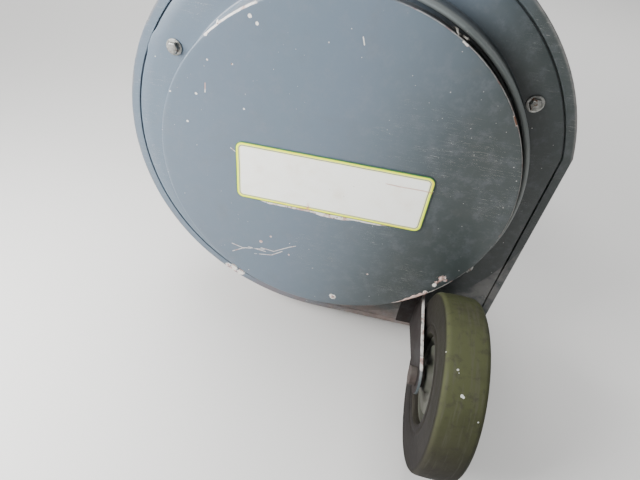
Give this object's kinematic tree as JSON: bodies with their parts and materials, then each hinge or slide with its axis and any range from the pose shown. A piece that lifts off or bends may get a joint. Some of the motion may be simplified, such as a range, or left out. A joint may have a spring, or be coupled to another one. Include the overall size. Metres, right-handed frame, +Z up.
{
  "type": "walk-behind garden shredder",
  "caption": "Walk-behind garden shredder with a round sheet steel drum, screwed front cover with a raised pan, top hopper, side outlet, small wheels, engine and push handle.",
  "frame": {"origin": "on the floor, at the bottom centre of the bounding box: midway between the rear wheels' outer ends and midway between the front tyre and the handle's ends", "axes": "+Z up, +Y from the front cover towards the handle, +X to the right of someone facing the front cover"},
  "size_m": [0.606, 1.12, 0.8967],
  "materials": {
    "paint": "semi-gloss slate grey paint, worn",
    "plate": "satin cream plate",
    "steel": "worn steel",
    "cast_iron": "rough cast",
    "alloy": "cast alloy",
    "shroud": "satin black paint",
    "exhaust": "heat stained steel",
    "plastic": "matte black",
    "hub": "light grey",
    "tyre": "worn rubber",
    "grip": "matte black rubber"
  },
  "bodies": {
    "chassis": {"drum_shell": "paint", "drum_rim": "paint", "front_cover": "paint", "back_plate": "paint", "front_bracket": "paint", "hopper_throat": "paint", "hopper": "paint", "outlet_frame": "paint", "flap_hinge": "paint", "deck": "paint", "axle_bracket_left": "paint", "axle_bracket_right": "paint", "hitch_plate": "paint", "handle_left": "paint", "handle_right": "paint", "handle_cross": "paint", "blank_plate": "plate", "front_axle": "steel", "rear_axle": "steel", "tank_bracket": "steel", "bearing_housing": "cast_iron", "crankcase": "alloy", "cylinder_block": "alloy", "carburettor": "alloy", "blower_housing": "shroud", "recoil_cover": "shroud", "fuel_tank": "shroud", "grip_left": "grip", "grip_right": "grip", "starter_grip": "grip", "muffler": "exhaust", "air_cleaner": "plastic"},
    "front_wheel": {"front_tyre": "tyre", "front_hub": "hub"},
    "rear_wheel_left": {"rear_tyre_left": "tyre", "rear_hub_left": "hub"},
    "rear_wheel_right": {"rear_tyre_right": "tyre", "rear_hub_right": "hub"},
    "rotor": {"rotor_shaft": "steel", "rotor_disc": "steel", "paddle_1": "steel", "paddle_2": "steel", "paddle_3": "steel", "paddle_4": "steel"},
    "flap": {"discharge_flap": "paint"}
  },
  "joints": [
    {"name": "front_wheel_spin", "type": "hinge", "parent": "chassis", "child": "front_wheel", "pos_m": [0.166, -0.4585, 0.1015], "axis": [1, 0, 0], "continuous": true},
    {"name": "rear_left_spin", "type": "hinge", "parent": "chassis", "child": "rear_wheel_left", "pos_m": [-0.28, 0.1365, 0.127], "axis": [1, 0, 0], "continuous": true},
    {"name": "rear_right_spin", "type": "hinge", "parent": "chassis", "child": "rear_wheel_right", "pos_m": [0.28, 0.1365, 0.127], "axis": [1, 0, 0], "continuous": true},
    {"name": "rotor_spin", "type": "hinge", "parent": "chassis", "child": "rotor", "pos_m": [0, -0.2705, 0.275], "axis": [0, 1, 0], "continuous": true},
    {"name": "flap_swing", "type": "hinge", "parent": "chassis", "child": "flap", "pos_m": [0.24, -0.2705, 0.167], "axis": [0, -1, 0], "range_deg": [0, 75]}
  ]
}
